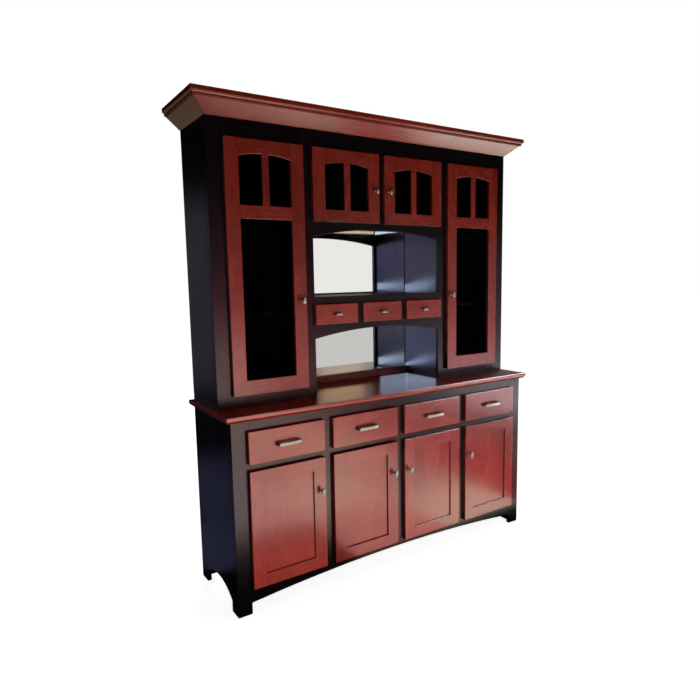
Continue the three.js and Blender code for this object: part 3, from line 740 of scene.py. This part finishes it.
room = {"backdrop": 1.0, "soft": 0.042, "dark": 0.004}
floor = {"half": 40.0, "low": (0.80, 0.80, 0.80), "high": (0.84, 0.84, 0.84), "mottleScale": 3.0,
         "roughness": 0.9, "specular": 0.1, "glow": (0.90, 1.0), "reach": (1.2, 4.0)}
lamps = {
    "window": {"place": (1.4, -2.7, 0.34), "aim": (0, -0.2, 0.25), "size": (1.1, 0.6),
               "power": 11, "spread": 100},
    "bounce": {"place": (0.2, -1.5, 0.05), "aim": (0.2, -1.1, 2), "size": (2.4, 1), "power": 6},
    "bounceLeft": {"place": (-1.3, -1.3, 0.05), "aim": (-1, -1, 2), "size": (1, 1),
                   "power": 14.5},
    "upper": {"place": (0.75, -1.5, 1.5), "aim": (0.35, 0, 1.5), "size": (0.6, 0.6),
              "power": 1.7, "spread": 110},
    "over": {"place": (0, -0.6, 5), "aim": (0, -0.2, 0), "size": (5, 5), "power": 25},
    "behind": {"place": (1.6, 4.2, 2.4), "aim": (0, 0, 1), "size": (2.5, 2), "power": 90,
               "colour": (1.0, 0.98, 0.95)},
}

# Groups of pieces that some cards light alone, or leave out
metalPieces = tuple(name for name in nodes if "knob" in name or "pull" in name)
glazedFrames = tuple(f"{door}_frame" for door in glazedDoors)
glassPanes = tuple(f"{door}_glass" for door in glazedDoors)
rightFronts = ("base_door_3_frame", "base_door_4_frame", "base_drawer_3", "base_drawer_4")
behindGlass = ("hutch_back_panel", "tall_cabinet_floor_left", "tall_cabinet_floor_right",
               "upper_shelf", "tall_shelf_left_1", "tall_shelf_left_2", "tall_shelf_right_1",
               "tall_shelf_right_2")
untinted = metalPieces + behindGlass + glassPanes + ("mirror",)  # they see no tinted card

# Cards that only reflections see. A lying card: left, right, near, far, glow, tint, pieces
floorCards = {
    "left": (-0.75, -0.15, -2.3, -0.9, 4.7, (1, 0.74, 0.76)),
    "frontLeft": (-0.75, -0.15, -3.95, -2.3, 4.1, (1, 0.96, 0.96)),
    "footLeft": (-0.75, -0.15, -0.68, -0.3, 1.9, (1, 0.2, 0.2),
                 ("base_door_1_frame", "base_door_1_panel")),
    "foot": (-0.15, 0.45, -0.9, -0.35, 4.0, (1, 0.51, 0.46)),
    "middle": (-0.15, 0.45, -1.5, -0.9, 5.5, (1, 0.83, 0.66)),
    "shadeLeft": (-0.15, 0.45, -2.3, -1.5, 2.4, (1, 0.77, 0.76)),
    "shadeRight": (0.45, 1.05, -1.5, -0.9, 2.4, (1, 0.77, 0.76)),
    "near": (0.45, 1.05, -0.9, -0.35, 4.75, (1, 0.89, 0.71)),
    "front": (-0.15, 0.45, -3.95, -2.3, 5.35, (1, 0.70, 0.53)),
    "frontMiddle": (0.45, 1.05, -3.95, -1.5, 5.35, (1, 0.70, 0.53)),
    "gap": (1.05, 1.8, -3.95, -0.35, 2.0, (1, 0.10, 0.18)),
    "corner": (1.8, 2.9, -0.9, -0.35, 9.0, (1, 0.93, 0.80)),
    "edge": (2.9, 4.4, -0.9, -0.35, 9.0, (1, 0.93, 0.80)),
    "far": (2.9, 4.4, -3.95, -1.5, 7.4, (1, 0.90, 0.98)),
    "beside": (-1.3, -0.88, 0.2, 0.8, 0.18, (0.46, 0.47, 1)),
    "besideBack": (-1.65, -1.05, 0.8, 2.0, 0.18, (0.46, 0.47, 1)),
    "metalNear": (-1.6, 1.8, -2.2, -0.35, 1.3, (1, 0.94, 0.88), metalPieces),
    "metalLeft": (-1.6, 1.8, -3.95, -2.2, 3.0, (1, 0.95, 0.90), metalPieces),
    "metalFar": (2.2, 4.4, -3.95, -0.35, 4.0, (1, 0.97, 0.94), metalPieces),
    "underEdges": (-1.0, 1.3, -0.95, -0.1, 20.0, (0.92, 0.94, 1), glazedFrames),
}
overCards = {
    "overRight": (3.2, 6.6, -4.0, 3.0, 40.0, (0.93, 0.92, 1), rightFronts + ("countertop",)),
    "overFar": (5.5, 8.8, -7.0, -4.0, 40.0, (0.93, 0.92, 1), rightFronts),
}
# An upright card: left, right, low, high, glow, tint, pieces
frontCards = {
    "low": (0.1, 1.0, 0.0, 0.8, 5.0, (1, 0.67, 0.64)),
    "dimLeft": (0.1, 1.0, 0.8, 1.2, 2.0, (1, 0.05, 0.13)),
    "dim": (1.0, 1.7, 0.0, 1.2, 2.0, (1, 0.05, 0.13)),
    "mid": (0.1, 1.7, 1.2, 2.05, 0.4, (1, 0.32, 0.38)),
    "skirt": (1.7, 3.85, 0.0, 0.8, 0.585, (1, 0.985, 0.95)),
    "warm": (0.6, 2.3, 0.8, 1.4, 1.8, (1, 0.06, 0.02), nicheDrawers),
    "rightLow": (3.85, 5.8, 0.0, 0.8, 1.75, (1, 0.60, 0.68)),
    "rightMid": (3.85, 5.8, 0.8, 1.2, 0.57, (1, 0.76, 0.82)),
    "right": (3.85, 5.8, 1.2, 1.8, 0.92, (1, 0.77, 0.85)),
    "leftDim": (-4.4, -2.3, 1.0, 1.5, 1.0, (0.35, 0.15, 1)),
    "leftMid": (-4.4, -2.3, 0.45, 1.0, 4.2, (0.64, 0.66, 1)),
    "leftHigh": (-4.4, -2.3, 1.5, 2.1, 3.8, (0.57, 0.56, 1)),
    "metal": (0.1, 5.8, 0.0, 2.1, 1.0, (1, 0.97, 0.95), metalPieces),
    "sideEdges": (-9.0, -3.4, 0.0, 2.4, 9.0, (0.8, 0.88, 1), nicheDrawers[1:]),
}
behindCards = {
    "rear": (-3.5, 3.5, -2.0, 3.0, 0.6, (0.96, 0.97, 1), ("base_back_panel", "hutch_back_panel")),
    "behind": (-3.8, -1.9, 0.0, 2.4, 0.21, (0.84, 0.76, 1)),
    "crownEnd": (-3.0, -0.6, -1.2, 1.2, 0.36, (0.78, 1, 0.5), ("crown_board", "crown_cap")),
}
# The mirror shows the pale card, and the counter the tan and the sky card by way of the mirror
farCards = {
    "pale": (3.68, 7.1, 1.08, 2.38, 0.87, (1, 0.985, 0.95), ("mirror", "countertop")),
    "tan": (4.6, 5.75, 2.5, 3.1, 2.2, (1, 0.64, 0.36), ("mirror", "countertop")),
    "sky": (6.1, 7.2, 2.5, 3.1, 1.7, (0.55, 0.76, 1), ("mirror", "countertop")),
    "plain": (-14.0, 3.0, -3.0, 6.0, 0.62, (1, 0.99, 0.97), ("mirror",)),
    "plainRight": (7.3, 18.0, -3.0, 6.0, 0.62, (1, 0.99, 0.97), ("mirror",)),
}
cardSets = {  # where each set stands, along Z for the lying ones and along Y for the others
    "floor": {"at": 0.012, "lying": True, "cards": floorCards},
    "front": {"at": -4.0, "lying": False, "cards": frontCards},
    "behind": {"at": 5.0, "lying": False, "cards": behindCards},
    "over": {"at": 4.2, "lying": True, "cards": overCards},
    "far": {"at": -8.0, "lying": False, "cards": farCards},
}
paleTint = 0.9  # a card is tinted where one of its channels is below this

# The glow in the niche: light off the polished shelf and counter, seen by one piece alone
nicheGlow = {
    "sheenUpper": {"place": (0, 0.2318, 1.478), "faces": (0, -1, 0), "size": (0.76, 0.32),
                   "glow": 1.0, "tint": (0.46, 0.43, 1), "piece": "niche_wall_right"},
    "sheenLower": {"place": (0, 0.2318, 1.03), "faces": (0, -1, 0), "size": (0.76, 0.34),
                   "glow": 1.6, "tint": (0.42, 0.41, 1), "piece": "niche_wall_right"},
    "wallUpper": {"place": (0.235, 0.2318, 1.352), "faces": (0, -1, 0), "size": (0.30, 0.06),
                  "tilt": 9, "glow": 7.0, "tint": (0.53, 0.68, 1), "piece": "niche_wall_right"},
    "wallLower": {"place": (0.235, 0.2318, 0.905), "faces": (0, -1, 0), "size": (0.30, 0.06),
                  "tilt": 9, "glow": 8.0, "tint": (0.53, 0.68, 1), "piece": "niche_wall_right"},
    "imageUpper": {"place": (0.235, -0.055, 1.348), "faces": (0, 1, 0), "size": (0.28, 0.04),
                   "glow": 9.0, "tint": (0.56, 0.72, 1), "piece": "niche_wall_right"},
    "imageLower": {"place": (0.235, -0.055, 0.89), "faces": (0, 1, 0), "size": (0.28, 0.045),
                   "glow": 10.0, "tint": (0.56, 0.72, 1), "piece": "niche_wall_right"},
    "counterRight": {"place": (0.381, 0.09, 0.925), "faces": (-1, 0, 0), "size": (0.26, 0.12),
                     "glow": 0.56, "tint": (0.52, 0.74, 1), "piece": "countertop"},
    "counterMiddle": {"place": (0.285, 0.2115, 0.93), "faces": (0, -1, 0), "size": (0.19, 0.13),
                      "glow": 0.6, "tint": (0.52, 0.74, 1), "piece": "countertop"},
    "ceilingTan": {"place": (0.2, -0.036, 1.6295), "faces": (0, 1, 0), "size": (0.33, 0.015),
                   "glow": 1.8, "tint": (1, 0.78, 0.48), "piece": "upper_cabinet_floor"},
    "ceilingSky": {"place": (0.381, 0.08, 1.632), "faces": (-1, 0, 0), "size": (0.26, 0.02),
                   "glow": 1.8, "tint": (0.68, 0.85, 1), "piece": "upper_cabinet_floor"},
}


def addRoom():
    world = bpy.data.worlds.new("room")
    bpy.context.scene.world = world
    world.use_nodes = True
    paint = Paint(world.node_tree)
    ray = paint.node("LightPath")
    seen = Value(paint, ray.outputs["Is Camera Ray"]) | ray.outputs["Is Transmission Ray"]
    dark, soft, backdrop = (rgba((room[key],) * 3) for key in ("dark", "soft", "backdrop"))
    colour = paint.mixColour(ray.outputs["Is Diffuse Ray"], dark, soft)
    colour = paint.mixColour(seen, colour, backdrop)
    shade = paint.node("Background", None, {"Color": colour})
    paint.node("OutputWorld", None, {"Surface": shade.outputs[0]})


def addFloor():
    mesh = bpy.data.meshes.new("floor")
    half = floor["half"]
    corners = [(x, y, 0) for x, y in rectangle(-half, half, -half, half)]
    mesh.from_pydata(corners, [], [(0, 1, 2, 3)])
    plane = bpy.data.objects.new("floor", mesh)
    bpy.context.scene.collection.objects.link(plane)
    material, paint, shader = newMaterial("paleFloor", floor["high"])
    mottle = paint.noise(paint.place(), floor["mottleScale"])
    paint.feed(shader.inputs["Base Color"], paint.mixColour(
        mottle, rgba(floor["low"]), rgba(floor["high"])))
    away = paint.node("VectorMath", {"operation": "LENGTH"}, {0: paint.place()})
    glow = paint.remap(away.outputs["Value"], *floor["reach"], *floor["glow"])
    paint.feed(shader.inputs["Emission Color"], paint.vector(glow, glow, glow))
    shader.inputs["Emission Strength"].default_value = 1.0
    shader.inputs["Roughness"].default_value = floor["roughness"]
    shader.inputs["Specular IOR Level"].default_value = floor["specular"]
    mesh.materials.append(material)
    plane.visible_glossy = False
    plane.visible_diffuse = False


def addArea(name, place, aim, size, power, colour, spread=180):
    data = bpy.data.lights.new(name, "AREA")
    data.shape = "RECTANGLE"
    data.size, data.size_y = size
    data.energy = power
    data.color = colour
    data.spread = math.radians(spread)
    light = bpy.data.objects.new(name, data)
    light.location = place
    light.rotation_euler = (Vector(aim) - Vector(place)).to_track_quat("-Z", "Y").to_euler()
    light.visible_camera = False
    bpy.context.scene.collection.objects.link(light)
    return light


def addLamp(name, lamp):  # lamps light the wood and leave no reflection
    light = addArea(name, lamp["place"], lamp["aim"], lamp["size"], lamp["power"],
                    lamp.get("colour", (1, 1, 1)), lamp.get("spread", 180))
    light.visible_glossy = False


def addGlow(name, place, aim, size, glow, tint):  # and a glow does the reverse
    light = addArea(name, place, aim, size, glow * math.pi * size[0] * size[1], tint)
    light.visible_diffuse = False
    return light


def linkLight(light, names, state="INCLUDE"):
    group = bpy.data.collections.new(f"linked_to_{light.name}")
    for name in names:
        group.objects.link(allPieces[name])
    for member in group.collection_objects:
        member.light_linking.link_state = state
    light.light_linking.receiver_collection = group


def addCard(kind, name, card):
    left, right, low, high, glow, tint = card[:6]
    at, lying = cardSets[kind]["at"], cardSets[kind]["lying"]
    x, other = (left + right) / 2, (low + high) / 2
    place, aim = ((x, other, at), (x, other, 1)) if lying else ((x, at, other), (x, 0, other))
    light = addGlow(f"{kind}_{name}", place, aim, (right - left, high - low), glow, tint)
    if len(card) > 6:
        linkLight(light, card[6])
    elif kind in ("floor", "front") and min(tint) < paleTint:
        linkLight(light, untinted, "EXCLUDE")


def addNicheGlow(name, spot):
    place = Vector(spot["place"])
    light = addGlow(f"niche_{name}", place, place + Vector(spot["faces"]), spot["size"],
                    spot["glow"], spot["tint"])
    light.rotation_euler.rotate_axis("Z", math.radians(spot.get("tilt", 0)))
    linkLight(light, (spot["piece"],))


addRoom()
addFloor()
for name, lamp in lamps.items():
    addLamp(name, lamp)
for kind, cardSet in cardSets.items():
    for name, card in cardSet["cards"].items():
        addCard(kind, name, card)
for name, spot in nicheGlow.items():
    addNicheGlow(name, spot)
bpy.context.scene.view_settings.view_transform = "Standard"
bpy.context.scene.view_settings.look = "None"
print("studio lit")
